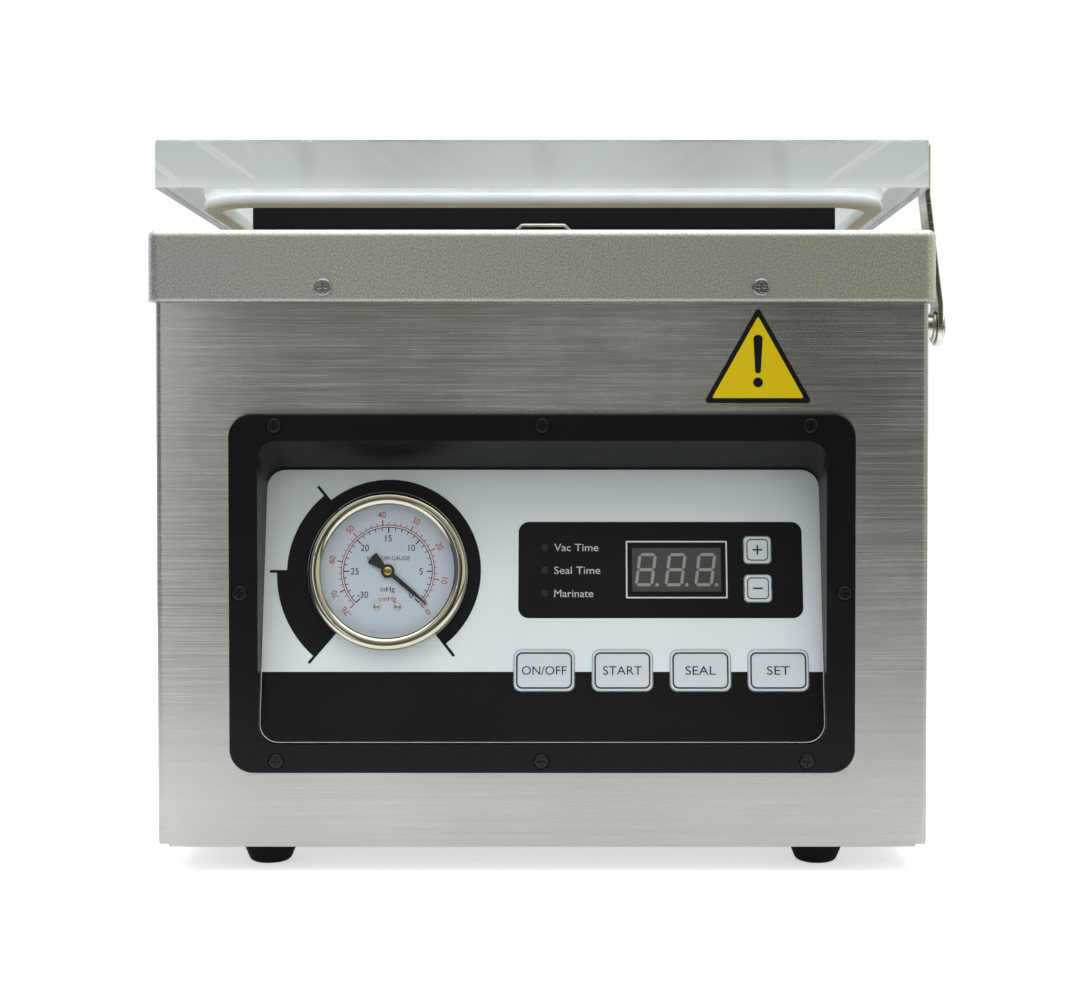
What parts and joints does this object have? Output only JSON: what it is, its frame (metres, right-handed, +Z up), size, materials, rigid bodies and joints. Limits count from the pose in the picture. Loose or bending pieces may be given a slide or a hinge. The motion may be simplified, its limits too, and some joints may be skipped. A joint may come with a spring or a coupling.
{
  "type": "vacuum chamber sealer",
  "caption": "Tabletop vacuum chamber sealer: brushed steel housing, recessed control panel with gauge and keys, deck with chamber and seal bar, hinged clear lid with hook.",
  "frame": {"origin": "on the surface the machine stands on, under the middle of the chamber rim", "axes": "+Z up, front panel facing -Y, +X to the right of someone facing the panel"},
  "size_m": [0.3396, 0.4834, 0.31],
  "materials": {
    "brushed_sheet": "horizontally brushed stainless sheet",
    "satin_deck": "bead-blasted stainless, rounded edges",
    "clear_acrylic": "clear cast acrylic, polished edges",
    "gauge_glass": "clear",
    "white_silicone": "matte translucent white",
    "black_bar": "satin black anodised",
    "pad_rubber": "matte",
    "black_frame": "satin moulded",
    "printed_panel": "printed overlay, pale grey over black",
    "white_keys": "satin printed",
    "display_face": "dark tinted window",
    "lamp_lens": "unlit dark green",
    "steel_screws": "satin",
    "black_screws": "black oxide",
    "polished_ring": "polished",
    "dial_face": "white, printed scale",
    "black_needle": "matte",
    "gauge_body": "black",
    "foot_rubber": "matte",
    "bright_steel": "polished stainless",
    "spring_wire": "drawn wire",
    "milled_aluminium": "milled",
    "brown_tape": "woven non-stick tape",
    "resistance_wire": "flat wire",
    "brass_fittings": "turned",
    "white_board": "white board",
    "grey_paint": "satin grey",
    "rotor_steel": "bare",
    "black_plastic": "moulded",
    "mount_rubber": "matte",
    "circuit_green": "lacquered board",
    "red_plastic": "moulded",
    "yellow_label": "printed film"
  },
  "bodies": {
    "base": {"housing_shell": "brushed_sheet", "rear_panel": "brushed_sheet", "base_plate": "brushed_sheet", "chamber_tub": "satin_deck", "gauge_lens": "gauge_glass", "panel_bezel": "black_frame", "control_panel": "printed_panel", "display_module": "display_face", "status_lamps": "lamp_lens", "case_screws": "steel_screws", "bezel_screws": "black_screws", "gauge_bezel": "polished_ring", "gauge_dial": "dial_face", "gauge_case": "gauge_body", "rubber_feet": "foot_rubber", "hook_pivot": "bright_steel", "clip_bracket": "bright_steel", "hinge_brackets": "bright_steel", "hinge_pins": "bright_steel", "vacuum_port": "bright_steel", "hinge_springs": "spring_wire", "lift_cylinders": "milled_aluminium", "pump_head": "milled_aluminium", "valve_block": "brass_fittings", "filler_plates": "white_board", "pump_motor": "grey_paint", "fan_cowl": "grey_paint", "exhaust_filter": "grey_paint", "transformer": "rotor_steel", "power_inlet": "black_plastic", "fuse_drawer": "black_plastic", "lid_switch": "black_plastic", "pump_mounts": "mount_rubber", "vacuum_hose": "mount_rubber", "control_board": "circuit_green", "warning_label": "yellow_label"},
    "lid": {"lid": "clear_acrylic", "lid_gasket": "white_silicone", "seal_pad_bar": "black_bar", "seal_strip": "pad_rubber", "lid_screws": "steel_screws", "hinge_leaves": "bright_steel", "lid_stud": "bright_steel"},
    "hook": {"lid_hook": "bright_steel"},
    "clip": {"bag_clip": "bright_steel"},
    "sealing_bar": {"seal_bar": "milled_aluminium", "heating_element": "resistance_wire", "seal_tape": "brown_tape", "wire_terminals": "brass_fittings", "lift_rods": "bright_steel"},
    "button_on_off": {"key_on_off": "white_keys"},
    "button_start": {"key_start": "white_keys"},
    "button_seal": {"key_seal": "white_keys"},
    "button_set": {"key_set": "white_keys"},
    "button_plus": {"key_plus": "white_keys"},
    "button_minus": {"key_minus": "white_keys"},
    "needle": {"gauge_needle": "black_needle"},
    "plunger": {"switch_plunger": "red_plastic"},
    "rotor": {"pump_rotor": "rotor_steel", "pump_fan": "black_plastic"}
  },
  "joints": [
    {"name": "lid_hinge", "type": "hinge", "parent": "base", "child": "lid", "pos_m": [0, 0.226, 0.29], "axis": [-1, 0, 0], "range_deg": [-1.45, 55]},
    {"name": "hook_swing", "type": "hinge", "parent": "base", "child": "hook", "pos_m": [0.17, -0.213, 0.231], "axis": [1, 0, 0], "range_deg": [-6, 165]},
    {"name": "clip_swing", "type": "hinge", "parent": "base", "child": "clip", "pos_m": [0, -0.211, 0.257], "axis": [-1, 0, 0], "range_deg": [0, 85], "stiffness_Nm_per_rad": 0.01},
    {"name": "seal_bar_lift", "type": "slide", "parent": "base", "child": "sealing_bar", "axis": [0, 0, 1], "range_m": [0, 0.011]},
    {"name": "press_on_off", "type": "slide", "parent": "base", "child": "button_on_off", "axis": [0, 0.9799, -0.1994], "range_m": [0, 0.0006], "stiffness_N_per_m": 300},
    {"name": "press_start", "type": "slide", "parent": "base", "child": "button_start", "axis": [0, 0.9799, -0.1994], "range_m": [0, 0.0006], "stiffness_N_per_m": 300},
    {"name": "press_seal", "type": "slide", "parent": "base", "child": "button_seal", "axis": [0, 0.9799, -0.1994], "range_m": [0, 0.0006], "stiffness_N_per_m": 300},
    {"name": "press_set", "type": "slide", "parent": "base", "child": "button_set", "axis": [0, 0.9799, -0.1994], "range_m": [0, 0.0006], "stiffness_N_per_m": 300},
    {"name": "press_plus", "type": "slide", "parent": "base", "child": "button_plus", "axis": [0, 0.9799, -0.1994], "range_m": [0, 0.0006], "stiffness_N_per_m": 300},
    {"name": "press_minus", "type": "slide", "parent": "base", "child": "button_minus", "axis": [0, 0.9799, -0.1994], "range_m": [0, 0.0006], "stiffness_N_per_m": 300},
    {"name": "needle_turn", "type": "hinge", "parent": "base", "child": "needle", "pos_m": [-0.0661, -0.22361, 0.12565], "axis": [0, -0.9799, 0.1994], "range_deg": [0, 265], "stiffness_Nm_per_rad": 0.001},
    {"name": "plunger_press", "type": "slide", "parent": "base", "child": "plunger", "axis": [0, 0, -1], "range_m": [0, 0.002], "stiffness_N_per_m": 150},
    {"name": "rotor_spin", "type": "hinge", "parent": "base", "child": "rotor", "pos_m": [0, 0.07, 0.088], "axis": [1, 0, 0], "continuous": true}
  ]
}
